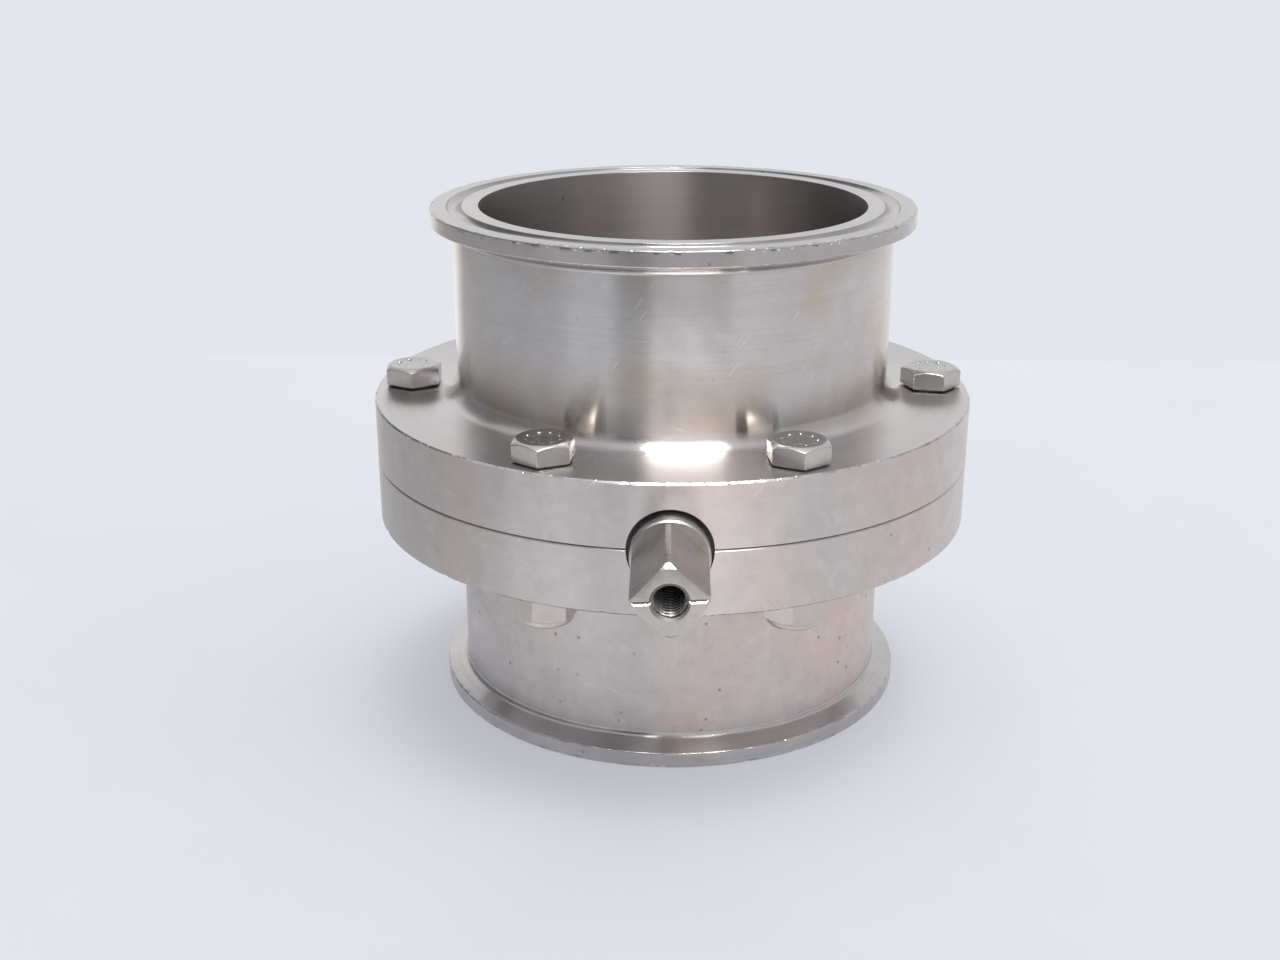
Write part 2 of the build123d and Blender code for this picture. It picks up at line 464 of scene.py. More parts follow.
# Patterns drawn out round the axis: how fast they change round it, and along it.
LINE_DRIFT = 1.2
LINE_WANDER = 0.4 * mm
BAND_STRETCH = (0.6, 420.0)
STREAK_STRETCH = (2.2, 60.0)
SCRATCH_ANGLES = (0.5, -0.75, 1.3)
SCRATCH_STRETCH = (2300.0, 190.0)
SCRATCH_SPREAD = 85.0
SURFACE_R = 50 * mm         # turns an angle about Z into a length for the scratches
STEEL_RELIEF = 0.03 * mm
MOULDED_RELIEF = 0.05 * mm
ROUND_THE_AXIS = 0.25       # anisotropic rotation that lays the highlight across the tool lines


def cells(g, place, scale, channel, low, high, near, far):
    """Round dots in the few cells whose random value is high."""
    found = g.node("ShaderNodeTexVoronoi", {"Vector": place, "Scale": scale, "Randomness": 1.0})
    chosen = g.between(g.split(found.outputs["Color"])[channel], low, high)
    return g.product(chosen, g.between(found.outputs["Distance"], near, far, 1.0, 0.0))


def add_pits(g, place, pits, tone, rough):
    """A few dull dark spots, and smaller rusty flecks."""
    spot = cells(g, place, PIT_SCALE, 0, 1 - pits, 1 - pits * 0.9, 0.05, 0.16)
    tone = g.mix(g.product(spot, 0.5), tone, PIT)
    rough = g.sum(rough, g.product(spot, 0.2))
    fleck = cells(g, place, FLECK_SCALE, 1, 1 - pits * 0.8, 1 - pits * 0.7, 0.06, 0.22)
    return g.mix(g.product(fleck, 0.6), tone, RUST), rough


def add_scratches(g, x, y, along, colour, amount, tone, height):
    """Sparse fine scratches in three directions on the surface, the first dark and the rest bright."""
    around = g.product(g.math("ARCTAN2", y, x), SURFACE_R)
    fine, coarse = SCRATCH_STRETCH
    for index, angle in enumerate(SCRATCH_ANGLES):
        cos = math.cos(angle)
        sin = math.sin(angle)
        across = g.sum(g.product(around, cos), g.product(along, sin))
        down = g.sum(g.product(around, -sin), g.product(along, cos))
        drawn = g.vector(g.product(across, fine), g.product(down, coarse), 7.0 * index)
        thin = g.noise(drawn, 1.0, 0.0)
        wide = g.vector(g.product(across, SCRATCH_SPREAD), g.product(down, SCRATCH_SPREAD), 3.0 + index)
        sparse = g.noise(wide, 1.0, 1.0)
        mark = g.product(g.between(thin, 0.74, 0.79), g.between(sparse, 0.58, 0.66))
        tone = g.mix(g.product(mark, amount), tone, shade(colour, 1.30 if index else 0.62))
        height = g.sum(height, g.product(mark, -1.0 * amount))
    return tone, height


def add_nicks(g, place, colour, amount, tone, height):
    """Bright knocks, partly painted glints, and dark dirt all over, for narrow edges."""
    knock_glint = g.between(g.noise(place, *NICK), 0.56, 0.66)
    height = g.sum(height, g.product(knock_glint, -6.0 * amount))
    tone = g.mix(g.product(knock_glint, 0.5 * amount), tone, shade(colour, 1.25))
    dirt = g.between(g.noise(place, *NICK_DIRT), 0.50, 0.64)
    return g.mix(g.product(dirt, 0.6 * amount), tone, shade(colour, 0.35)), height


def add_chips(g, place, r, z, colour, amount, tone, height):
    """Bright chips, partly painted glints, and dirt along the outer edge of a ferrule's end face."""
    end = g.math("MINIMUM", z, g.math("SUBTRACT", HEIGHT, z))
    inside = g.sum(g.math("SUBTRACT", RIM_R, r), g.math("ABSOLUTE", end))
    rim = g.between(inside, 0.9 * mm, 0.35 * mm)
    knock_glint = g.product(g.between(g.noise(place, *CHIP), 0.595, 0.645), rim)
    height = g.sum(height, g.product(knock_glint, -5.0 * amount))
    tone = g.mix(g.product(knock_glint, 0.8 * amount), tone, CHIP_GLINT_WHITE)
    dirt = g.product(g.between(g.noise(place, *CHIP_DIRT), 0.60, 0.66), rim)
    return g.mix(g.product(dirt, 0.8 * amount), tone, shade(colour, 0.3)), height


def steel(name, colour, rough, anisotropy=0.0, line=0.2, line_scale=5200.0, stain=0.3, pits=0.0,
          tint=0.0, scratch=0.2, grain=0.0, bump=0.2, mottle=0.3, blush=0.3, heat=0.0, nicks=0.0, chips=0.0):
    """Machined stainless steel about the Z axis. Each mark has an amount: line for tool lines and bands,
    stain for broad clouds, mottle for small ones, blush for warm and cool patches, tint for straw streaks,
    heat for the tints by the welds, grain for a blasted texture, and pits, scratch, nicks and chips. The
    bright knocks of nicks and chips are partly painted glints."""
    made, g = material(name)
    place = g.place()
    x, y, z = g.split(place)
    r = g.math("MAXIMUM", g.radius(x, y), 1e-5)
    ux = g.math("DIVIDE", x, r)
    uy = g.math("DIVIDE", y, r)
    along = g.sum(z, r)

    def drawn_round(height, stretch):
        """Coordinates for a pattern drawn out round the axis."""
        drift, scale = stretch
        return g.vector(g.product(ux, drift), g.product(uy, drift), g.product(height, scale))

    wander = g.product(g.noise(place, *WANDER), LINE_WANDER)
    lines = g.noise(drawn_round(g.sum(along, wander), (LINE_DRIFT, line_scale)), 1.0, 2.0, 0.6)
    bands = g.noise(drawn_round(along, BAND_STRETCH), 1.0, 2.0, 0.5)
    cloud = g.noise(place, *CLOUD)
    small_cloud = g.noise(place, *SMALL_CLOUD)
    patch = g.noise(g.scaled(place, (1.0, 1.0, 0.6)), *PATCH)
    speck = g.noise(place, *SPECK)

    dark = shade(colour, 1 - 0.22 * stain)
    light = shade(colour, 1 + 0.10 * stain)
    tone = g.mix(g.between(cloud, 0.32, 0.68), dark, light)
    warm = (colour[0] * 1.03, colour[1] * 0.93, colour[2] * 0.885, 1)
    cool = (colour[0] * 0.93, colour[1] * 0.965, colour[2] * 1.0, 1)
    tone = g.mix(g.between(patch, 0.50, 0.68, 0.0, blush), tone, warm)
    tone = g.mix(g.between(patch, 0.50, 0.34, 0.0, blush), tone, cool)
    tone = g.mix(g.between(small_cloud, 0.50, 0.70, 0.0, mottle), tone, shade(colour, 0.80))
    tone = g.mix(g.between(small_cloud, 0.48, 0.30, 0.0, mottle), tone, shade(colour, 1.12))
    tone = g.mix(g.between(lines, 0.35, 0.75, 0.0, line), tone, shade(colour, 0.72))
    tone = g.mix(g.between(bands, 0.45, 0.75, 0.0, line * 0.7), tone, shade(colour, 0.80))
    rough_now = g.sum(g.between(cloud, 0.3, 0.7, -0.05 * stain, 0.10 * stain), rough)
    rough_now = g.sum(rough_now, g.between(speck, 0.3, 0.7, -0.005, 0.006))
    height = g.product(lines, 0.6)
    if grain:
        fine = g.noise(place, *GRAIN)
        height = g.sum(height, g.product(fine, grain))
        tone = g.mix(g.between(fine, 0.35, 0.7, 0.0, 0.25 * grain), tone, shade(colour, 0.70))
    if tint:
        straw = g.between(g.noise(drawn_round(z, STREAK_STRETCH), 1.0, 3.0), 0.5, 0.75)
        tone = g.mix(g.product(straw, tint), tone, STRAW)
    if heat:
        away = g.math("ABSOLUTE", g.math("SUBTRACT", z, JOINT_Z))
        by_flange = g.between(away, *HEAT_BY_FLANGE)
        by_rim = g.between(away, *HEAT_BY_RIM, 0.0, 0.8)
        near = g.math("MAXIMUM", by_flange, by_rim)
        ragged = g.between(g.noise(g.scaled(place, (1.0, 1.0, 0.5)), *RAGGED), 0.35, 0.62)
        tone = g.mix(g.product(g.product(near, ragged), heat), tone, HEAT)
    if pits:
        tone, rough_now = add_pits(g, place, pits, tone, rough_now)
    if scratch:
        tone, height = add_scratches(g, x, y, along, colour, scratch, tone, height)
    if nicks:
        tone, height = add_nicks(g, place, colour, nicks, tone, height)
    if chips:
        tone, height = add_chips(g, place, r, z, colour, chips, tone, height)
    normal = g.bump(height, bump, STEEL_RELIEF)
    inputs = {"Base Color": tone, "Metallic": 1.0, "Roughness": rough_now, "Normal": normal}
    if anisotropy:
        inputs["Anisotropic"] = anisotropy
        inputs["Anisotropic Rotation"] = ROUND_THE_AXIS
        inputs["Tangent"] = g.node("ShaderNodeTangent", direction_type="RADIAL", axis="Z").outputs[0]
    g.surface("ShaderNodeBsdfPrincipled", inputs)
    return made


def moulded(name, colour, rough, scale, depth):
    """Rubber or polymer: matte, faintly mottled, with a fine moulded texture."""
    made, g = material(name)
    place = g.place()
    cloud = g.noise(place, *MOULD_CLOUD)
    fine = g.noise(place, scale, 3.0, 0.65)
    g.surface("ShaderNodeBsdfPrincipled", {
        "Base Color": g.mix(g.between(cloud, 0.3, 0.7), shade(colour, 0.85), shade(colour, 1.2)),
        "Roughness": g.between(fine, 0.3, 0.7, rough - 0.06, rough + 0.08),
        "Normal": g.bump(fine, depth, MOULDED_RELIEF),
    })
    return made


FINISH = {
    "tube": steel("tube_steel", (0.635, 0.608, 0.605), 0.19, 1.0, line=0.25, stain=0.5, tint=0.45,
                  scratch=0.45, pits=0.02, mottle=0.25, blush=1.0, heat=0.45),
    "fillet": steel("fillet_steel", (0.66, 0.635, 0.63), 0.25, 1.0, line=0.12, tint=0.2, scratch=0.3,
                    mottle=0.12, heat=0.25),
    "face": steel("flange_face_steel", (0.64, 0.615, 0.605), 0.282, 0.9, line=0.3, line_scale=3000.0,
                  stain=0.12, tint=0.15, scratch=0.3, mottle=0.08, bump=0.08),
    "side": steel("flange_side_steel", (0.66, 0.63, 0.625), 0.38, 0.85, line=0.10, stain=0.6, pits=0.03,
                  scratch=0.3, mottle=0.4, blush=0.9),
    "low": steel("lower_tube_steel", (0.725, 0.675, 0.655), 0.45, 0.6, line=0.05, stain=0.8, pits=0.20,
                 grain=0.5, scratch=0.3, mottle=0.4, blush=1.0),
    "rim": steel("rim_steel", (0.51, 0.49, 0.485), 0.22, 0.6, line=0.25, stain=0.4, tint=0.15,
                 scratch=0.3, pits=0.04, chips=1.0),
    "foot": steel("foot_steel", (0.575, 0.555, 0.55), 0.21, 0.9, line=0.35, stain=0.5, tint=0.25,
                  scratch=0.3, pits=0.04, chips=0.5),
    "edge": steel("edge_steel", (0.60, 0.58, 0.57), 0.20, line=0.1, grain=0.4, bump=0.6, scratch=0.0,
                  mottle=0.4, nicks=0.8),
    # painted shade: the bore's base colour is darker than the outside steel's, for the dimmer light inside
    # it
    "bore": steel("bore_steel_painted_shade", (0.555, 0.515, 0.51), 0.28, 0.9, line=0.3, line_scale=3600.0, stain=0.0,
                  pits=0.014, scratch=0.0, bump=0.12, mottle=0.0, blush=0.0),
    # painted shade: near-black steel stands in for the shade in the parting joint and in the gaps under the
    # bolt heads and nuts
    "painted_shade": steel("painted_shade_steel", (0.10, 0.095, 0.095), 0.5, line=0.0, stain=0.5, scratch=0.0),
}
BOLT_STEEL = steel("bolt_steel", (0.56, 0.545, 0.525), 0.27, line=0.0, stain=0.5, grain=0.6, bump=0.35,
                   scratch=0.3, mottle=0.5)
NUT_STEEL = steel("nut_steel", (0.53, 0.505, 0.48), 0.26, line=0.0, stain=0.4, grain=0.4, bump=0.3,
                  mottle=0.4)
STEM_STEEL = steel("stem_steel", (0.55, 0.52, 0.50), 0.26, line=0.15, line_scale=2600.0, stain=0.8,
                   grain=0.3, pits=0.03, bump=0.3, scratch=0.8, tint=0.4, mottle=0.6, blush=0.6)
THREAD_FINISH = {
    "steel": STEM_STEEL,
    # painted shade: the thread's grooves are near black and its mouth dark, for the dim light down the
    # tapping; the crests keep a steel colour
    "groove": steel("thread_groove_painted_shade", (0.06, 0.055, 0.06), 0.45, line=0.0, stain=0.5, scratch=0.0),
    "crest": steel("thread_crest_steel", (0.50, 0.48, 0.47), 0.36, line=0.0, stain=0.6, grain=0.3,
                   bump=0.3, scratch=0.0),
    "mouth": steel("thread_mouth_painted_shade", (0.32, 0.31, 0.305), 0.60, line=0.0, stain=0.6, grain=0.5,
                   bump=0.3, scratch=0.0),
}
DISC_STEEL = steel("disc_steel", (0.64, 0.62, 0.61), 0.20, line=0.1, grain=0.1, scratch=0.3)
RUBBER = moulded("seat_rubber", (0.018, 0.018, 0.02), 0.55, 1800.0, 0.35)
BUSH = moulded("bush_polymer", (0.03, 0.03, 0.032), 0.45, 2400.0, 0.2)
INSERT = moulded("insert_polymer", (0.62, 0.64, 0.66), 0.4, 2000.0, 0.2)

# ---------------------------------------------------------------------------
# Bodies
# ---------------------------------------------------------------------------


def stem_hole(radius, start, end, rear):
    """A cutting rod along the stem's axis, to the front or to the rear."""
    hole = rod("hole", radius, start, end, HOLE_SEGMENTS)
    turn = Matrix.Rotation(math.radians(-90 if rear else 90), 4, "X")
    return moved(hole, Matrix.Translation((0, 0, JOINT_Z)) @ turn)


def bolt_spot(number):
    """Where a bolt's axis crosses the parting plane."""
    low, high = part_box(f"bolt_{number}")
    return (low.x + high.x) / 2, (low.y + high.y) / 2


def body_outline():
    """The lower half's section, on one side of the axis. Guard points keep dents off the flat faces."""
    taper_top = RIM_STRAIGHT + (RIM_R - NECK_R) * math.tan(RIM_TAPER)
    flange_low = JOINT_Z - FLANGE_THICK
    half = GASKET_WIDTH / 2
    arc_r = (half**2 + GASKET_DEPTH**2) / (2 * GASKET_DEPTH)
    span = math.asin(half / arc_r)
    if GASKET_DEPTH > arc_r:
        span = math.pi - span
    centre = GASKET_DEPTH - arc_r
    groove = []
    steps = 14
    for k in range(steps + 1):
        angle = -span + 2 * span * k / steps
        groove.append((GASKET_R + arc_r * math.sin(angle), centre + arc_r * math.cos(angle)))
    groove[0] = (groove[0][0], 0.0)
    groove[-1] = (groove[-1][0], 0.0)
    outline = [
        (BORE_R, 0, BORE_EDGE),
        (*groove[0], GASKET_EDGE),
        *groove[1:-1],
        (*groove[-1], GASKET_EDGE),
        (RIM_R - DENT_GUARD, 0),
        (RIM_R, 0, RIM_EDGE),
        (RIM_R, RIM_STRAIGHT / 2),
        (RIM_R, RIM_STRAIGHT, RIM_EDGE),
        (RIM_R - DENT_GUARD, RIM_STRAIGHT + DENT_GUARD * math.tan(RIM_TAPER)),
        (NECK_R, taper_top, NECK_FILLET),
        (NECK_R, flange_low, FLANGE_FILLET),
        (FLANGE_R - FLANGE_EDGE - DENT_GUARD, flange_low),
        (FLANGE_R - FLANGE_EDGE, flange_low),
        (FLANGE_R, flange_low + FLANGE_EDGE),
        (FLANGE_R, flange_low + FLANGE_EDGE + DENT_GUARD),
        (FLANGE_R, JOINT_Z - JOINT_EDGE),
        (FLANGE_R - JOINT_EDGE, JOINT_Z),
        (SEAT_OUTER_R, JOINT_Z),
        (SEAT_OUTER_R, JOINT_Z - SEAT_OUTER_HALF),
        (SEAT_STEP_R, JOINT_Z - SEAT_OUTER_HALF),
        (SEAT_STEP_R, JOINT_Z - SEAT_INNER_HALF),
        (BORE_R, JOINT_Z - SEAT_INNER_HALF),
    ]
    return rounded_outline(outline)


def dent_edges(body, seed):
    """Knock small dents in the outer edges of the ferrule and the flange."""
    chance = random.Random(seed)
    # radius, height, the way inward along Z, and how many dents
    edges = (
        (RIM_R, 0.0, 1, 16),
        (RIM_R, RIM_STRAIGHT, -1, 8),
        (FLANGE_R, JOINT_Z - FLANGE_THICK, 1, 18),
    )
    for radius, height, inward, count in edges:
        near = []
        for vertex in body.data.vertices:
            x, y, z = vertex.co
            if abs(math.hypot(x, y) - radius) < DENT_REACH and abs(z - height) < DENT_REACH:
                near.append(vertex)
        for _ in range(count):
            angle = chance.uniform(0, 2 * math.pi)
            width = chance.uniform(*DENT_WIDTHS) * mm
            depth = chance.uniform(*DENT_DEPTHS) * mm
            for vertex in near:
                gap = math.atan2(vertex.co.y, vertex.co.x) - angle
                gap = (gap + math.pi) % (2 * math.pi) - math.pi
                push = depth * math.exp(-(gap * radius / width)**2)
                if push > 0.002 * mm:
                    r = math.hypot(vertex.co.x, vertex.co.y)
                    vertex.co.x *= (r - push) / r
                    vertex.co.y *= (r - push) / r
                    vertex.co.z += push * inward


def make_body(name, seed):
    """One half of the body as the lower one, with its stem bores, bolt holes and bush pockets."""
    body = lathe(name, body_outline(), BODY_SEGMENTS)
    dent_edges(body, seed)
    holes = [
        stem_hole(BUSH_POCKET_R, STEM_POCKET_START, FLANGE_R + 2 * SPARE, False),
        stem_hole(BUSH_POCKET_R, STEM_POCKET_START, REAR_BORE_END, True),
    ]
    for number in BOLT_NUMBERS:
        hole = rod("hole", BOLT_HOLE_R, JOINT_Z - FLANGE_THICK - SPARE, JOINT_Z + SPARE)
        holes.append(moved(hole, Matrix.Translation((*bolt_spot(number), 0))))
    combine(body, merged(holes))
    start = STEM_POCKET_START - 0.1 * mm
    collars = [stem_hole(COLLAR_POCKET_R, start, COLLAR_POCKET_END, rear) for rear in (False, True)]
    return combine(body, merged(collars))


def body_rule(is_upper):
    """Which finish each face of a body half has, from where it lies."""
    flange_low = JOINT_Z - FLANGE_THICK

    def kind(centre, normal):
        r = math.hypot(centre.x, centre.y)
        z = HEIGHT - centre.z if is_upper else centre.z
        if r < BORE_R + 0.2 * mm:
            return "bore"
        if r < FLANGE_R - 0.6 * mm and abs(z - JOINT_Z) < HAIR:
            return "face"
        if z < RIM_STRAIGHT + 0.5 * mm and r > RIM_R - 0.5 * mm and 0.2 < abs(normal.z) < 0.92:
            return "edge"
        # painted shade: the upper half's parting chamfer takes the near-black finish
        if is_upper and r > FLANGE_R - mm and z > JOINT_Z - JOINT_EDGE - HAIR:
            return "painted_shade"
        if r > FLANGE_R - FLANGE_EDGE and z < flange_low + FLANGE_EDGE:
            return "edge"
        if r > FLANGE_R - 0.3 * mm:
            return "side"
        flat = abs(normal.z) > 0.98 and abs(z - flange_low) < 0.08 * mm
        if flat and NECK_R - 2 * HAIR < r < FLANGE_R:
            return "face"
        if z < RIM_STRAIGHT + 2.2 * mm:
            return "rim" if is_upper else "foot"
        if r > NECK_R + 2 * HAIR:
            return "fillet"
        if r < NECK_R - 2 * HAIR:
            return "face"
        return "tube" if is_upper else "low"

    return kind


def make_bodies():
    lower = make_body("lower_valve_body", LOWER_SEED)
    upper = make_body("upper_valve_body", UPPER_SEED)
    moved(upper, Matrix.Translation((0, 0, HEIGHT)) @ Matrix.Diagonal((1, 1, -1, 1)))
    for body, is_upper, node in ((lower, False, "lower_body"), (upper, True, "upper_body")):
        finish_mesh(body)
        paint(body, FINISH, body_rule(is_upper))
        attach(body, "body")
        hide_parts(node)


# ---------------------------------------------------------------------------
# Drive stem
# ---------------------------------------------------------------------------


def thread_r(turn, z, crest, root, pitch):
    """Radius of a V thread at a share of a turn and a height. Both lines are flat for THREAD_FLAT."""
    phase = (z / pitch - turn) % 1.0
    wave = abs(2 * phase - 1)
    share = min(1.0, max(0.0, (wave - THREAD_FLAT) / (1 - 2 * THREAD_FLAT)))
    return crest + (root - crest) * share


def make_stem():
    """The round journal, the square with turned corners, the groove across the end and the tapping."""
    journal = lathe("drive_stem_detail", [
        (0, HUB_HALF),
        (JOURNAL_R, HUB_HALF),
        (JOURNAL_R, SHOULDER - SHOULDER_EDGE),
        (JOURNAL_R - SHOULDER_EDGE, SHOULDER),
        (0, SHOULDER),
    ], STEM_SEGMENTS)
    chamfer = SQUARE_CORNER_R - SQUARE_END_R
    start = SHOULDER - SPARE
    corners = lathe("corners", [
        (0, start),
        (SQUARE_CORNER_R, start),
        (SQUARE_CORNER_R, STEM_END - chamfer),
        (SQUARE_END_R, STEM_END),
        (0, STEM_END),
    ], STEM_SEGMENTS)
    square = prism("square", square_corners(SQUARE_FLATS / 2), start - SPARE, STEM_END + SPARE)
    moved(square, Matrix.Rotation(math.radians(45) + SQUARE_TILT, 4, "Z"))
    combine(corners, square, "INTERSECT")
    soften(corners, SQUARE_SOFT)
    side = POINTER_WIDTH / math.sqrt(2) / 2
    pointer = prism("pointer", square_corners(side), -POINTER_REACH, POINTER_REACH)
    moved(pointer, Matrix.Rotation(math.radians(45), 4, "Z"))
    turn = Matrix.Rotation(SQUARE_TILT, 4, "Z") @ Matrix.Rotation(math.radians(90), 4, "Y")
    moved(pointer, Matrix.Translation((0, 0, STEM_END)) @ turn)
    combine(corners, pointer)
    combine(journal, corners, "UNION")

    def hole_r(turn, z):
        deep = STEM_END - z
        r = thread_r(turn, z, TAPPING_CREST_R, TAPPING_R, TAPPING_PITCH)
        return max(r, TAPPING_R + TAPPING_CONE - deep)

    low = STEM_END - TAPPING_DEPTH
    high = STEM_END + 0.4 * mm
    rows = round((TAPPING_DEPTH + 0.4 * mm) / THREAD_STEP)
    tapping = rough_tube("tapping", hole_r, low, high, ROD_SEGMENTS, rows, low - TAPPING_POINT, high)
    combine(journal, tapping)
    finish_mesh(journal)
    journal.matrix_world = Matrix.Translation((0, 0, JOINT_Z)) @ Matrix.Rotation(math.radians(90), 4, "X")

    def kind(centre, normal):
        r = math.hypot(centre.x, centre.y)
        if r > TAPPING_R + 0.22 * mm or centre.z < TANG_END or centre.z > STEM_END - HAIR:
            return "steel"
        # painted shade in the tapping: its mouth and grooves take the dark finishes
        if centre.z > STEM_END - 0.7 * mm:
            return "mouth"
        return "crest" if r < TAPPING_CREST_R + 0.17 * mm else "groove"

    paint(journal, THREAD_FINISH, kind)
    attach(journal, "disc_and_stem")
    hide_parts("drive_stem")


# ---------------------------------------------------------------------------
# Bolts and nuts
# ---------------------------------------------------------------------------


def hex_with_cut(height, face_r):
    """A hexagonal prism whose upper corners are cut by a cone."""
    r = HEX_FLATS / math.sqrt(3)
    turns = [math.radians(60 * k) for k in range(6)]
    corners = [(r * math.cos(turn), r * math.sin(turn)) for turn in turns]
    far = HEX_FLATS
    cone = lathe("cone", [
        (0, -SPARE),
        (far, -SPARE),
        (far, height - (far - face_r) * math.tan(HEX_CUT)),
        (face_r, height),
        (0, height),
    ], CONE_SEGMENTS)
    return combine(prism("hexagon", corners, 0, height + SPARE), cone, "INTERSECT")


# Low raised marks round a head's dish: angle in degrees, radius, length and width in mm, twist in degrees.
HEAD_MARKS = (
    (8, 3.05, 1.3, 0.75, 80),
    (47, 3.1, 0.9, 0.7, 20),
    (82, 2.95, 1.2, 0.7, 95),
    (128, 3.05, 1.0, 0.75, 60),
    (168, 3.1, 1.35, 0.7, 85),
    (212, 2.95, 1.0, 0.7, 30),
    (251, 3.1, 0.8, 0.75, 70),
    (283, 2.95, 1.25, 0.75, 100),
    (322, 3.1, 0.95, 0.8, 50),
)
# The rounded side of a mark: share of its width, share of its height.
MARK_PROFILE = ((1.0, 0.0), (0.93, 0.42), (0.80, 0.74), (0.62, 0.93), (0.35, 1.0))


def head_mark(angle, radius, length, width, twist):
    """A low rounded bump with steep sides."""
    base = HEAD_HEIGHT - HEAD_DISH_DEPTH - MARK_ROOT
    rise = HEAD_DISH_DEPTH + MARK_ROOT - HAIR
    outline = [(share / 2, base + rise * height) for share, height in MARK_PROFILE]
    mark = lathe("mark", [(0, base), *outline, (0, base + rise)], MARK_SEGMENTS)
    moved(mark, Matrix.Diagonal((length * mm, width * mm, 1, 1)))
    place = Matrix.Rotation(math.radians(angle), 4, "Z") @ Matrix.Translation((radius * mm, 0, 0))
    return moved(mark, place @ Matrix.Rotation(math.radians(twist), 4, "Z"))


def bolt_mesh():
    """A bolt with its bearing face at z = 0 and the head above it."""
    head = soften(hex_with_cut(HEAD_HEIGHT - WASHER_FACE, HEAD_FACE_R), HEAD_SOFT)
    moved(head, Matrix.Translation((0, 0, WASHER_FACE)))
    combine(head, rod("washer", WASHER_FACE_R, 0, WASHER_FACE + WASHER_ROOT), "UNION")
    floor = HEAD_HEIGHT - HEAD_DISH_DEPTH
    dish = lathe("dish", [
        (0, floor - 0.05 * mm),
        (HEAD_DISH_FLOOR_R, floor),
        (HEAD_DISH_R, HEAD_HEIGHT),
        (HEAD_DISH_R, HEAD_HEIGHT + SPARE),
        (0, HEAD_HEIGHT + SPARE),
    ], ROD_SEGMENTS)
    combine(head, dish)
    for mark in HEAD_MARKS:
        combine(head, head_mark(*mark), "UNION")

    def shank_r(turn, z):
        tip = SHANK_R - SHANK_TIP + z + SHANK_LENGTH
        if z > -THREAD_START:
            return min(SHANK_R - 0.03 * mm, tip)
        return min(thread_r(turn, z, SHANK_ROOT_R, SHANK_R - 0.02 * mm, TAPPING_PITCH), tip)

    low = -SHANK_LENGTH
    shank = rough_tube("shank", shank_r, low, SPARE, SHANK_SEGMENTS, SHANK_ROWS, low, SPARE)
    combine(head, shank, "UNION")
    return finish_mesh(head)


def nut_mesh():
    """A lock nut with its bearing face at z = 0 and its collar below."""
    flip = Matrix.Translation((0, 0, -WASHER_FACE)) @ Matrix.Rotation(math.pi, 4, "X")
    body = moved(soften(hex_with_cut(NUT_HEX - WASHER_FACE, NUT_COLLAR_R), NUT_SOFT), flip)
    combine(body, rod("washer", WASHER_FACE_R, -WASHER_FACE - WASHER_ROOT, 0), "UNION")
    collar_r = NUT_COLLAR_R - 2 * HAIR
    collar_top = -NUT_HEX + 0.5 * mm
    collar = lathe("collar", rounded_outline([
        (0, collar_top),
        (0, -NUT_HEIGHT),
        (collar_r, -NUT_HEIGHT, NUT_COLLAR_ROUND),
        (collar_r, collar_top),
    ]), ROD_SEGMENTS)
    combine(body, collar, "UNION")
    recess = -NUT_HEIGHT + INSERT_LIP
    combine(body, rod("bore", SHANK_R, -NUT_HEIGHT - SPARE, SPARE))
    combine(body, rod("recess", INSERT_R, recess, recess + INSERT_HEIGHT))
    combine(body, rod("mouth", NUT_MOUTH_R, -NUT_HEIGHT - SPARE, recess + 0.1 * mm))
    return finish_mesh(body)


def place_fasteners():
    kinds = (
        ("bolt", bolt_mesh(), BOLT_STEEL, JOINT_Z + FLANGE_THICK, BOLT_TURNS),
        ("nut", nut_mesh(), NUT_STEEL, JOINT_Z - FLANGE_THICK, NUT_TURNS),
    )

    def under(centre, normal):
        """The gap round the bearing face and the overhang above it are painted dark as shadow."""
        gap = abs(centre.z) < WASHER_FACE and abs(normal.z) < 0.5
        overhang = abs(abs(centre.z) - WASHER_FACE) < HAIR and abs(normal.z) > 0.9
        outside = math.hypot(centre.x, centre.y) > SHANK_R + 0.2 * mm
        return "painted_shade" if outside and (gap or overhang) else "steel"

    for kind, pattern, finish, height, turns in kinds:
        paint(pattern, {"steel": finish, "painted_shade": FINISH["painted_shade"]}, under)
        for number in BOLT_NUMBERS:
            piece = pattern.copy()
            piece.data = pattern.data.copy()
            piece.name = f"{kind}_detail_{number}"
            bpy.context.scene.collection.objects.link(piece)
            moved(piece, Matrix.Rotation(math.radians(turns[number - 1]), 4, "Z"))
            piece.matrix_world = Matrix.Translation((*bolt_spot(number), height))
            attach(piece, "body")
            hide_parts(f"{kind}_{number}")
        drop(pattern)


# ---------------------------------------------------------------------------
# Disc
# ---------------------------------------------------------------------------


def disc_height(x, r):
    """Height of the upper side above the middle plane: plate and hub, blended, inside the sphere."""
    plate = DISC_CENTRE_HALF - (DISC_CENTRE_HALF - DISC_RIM_HALF) * r / (DISC_R + mm)
    hub = math.sqrt(max(0.0, HUB_R**2 - x**2))
    overlap = max(DISC_BLEND - abs(plate - hub), 0.0)
    blended = max(plate, hub) + overlap**2 / (4 * DISC_BLEND)
    return min(blended, math.sqrt(max(0.0, DISC_R**2 - r**2)))


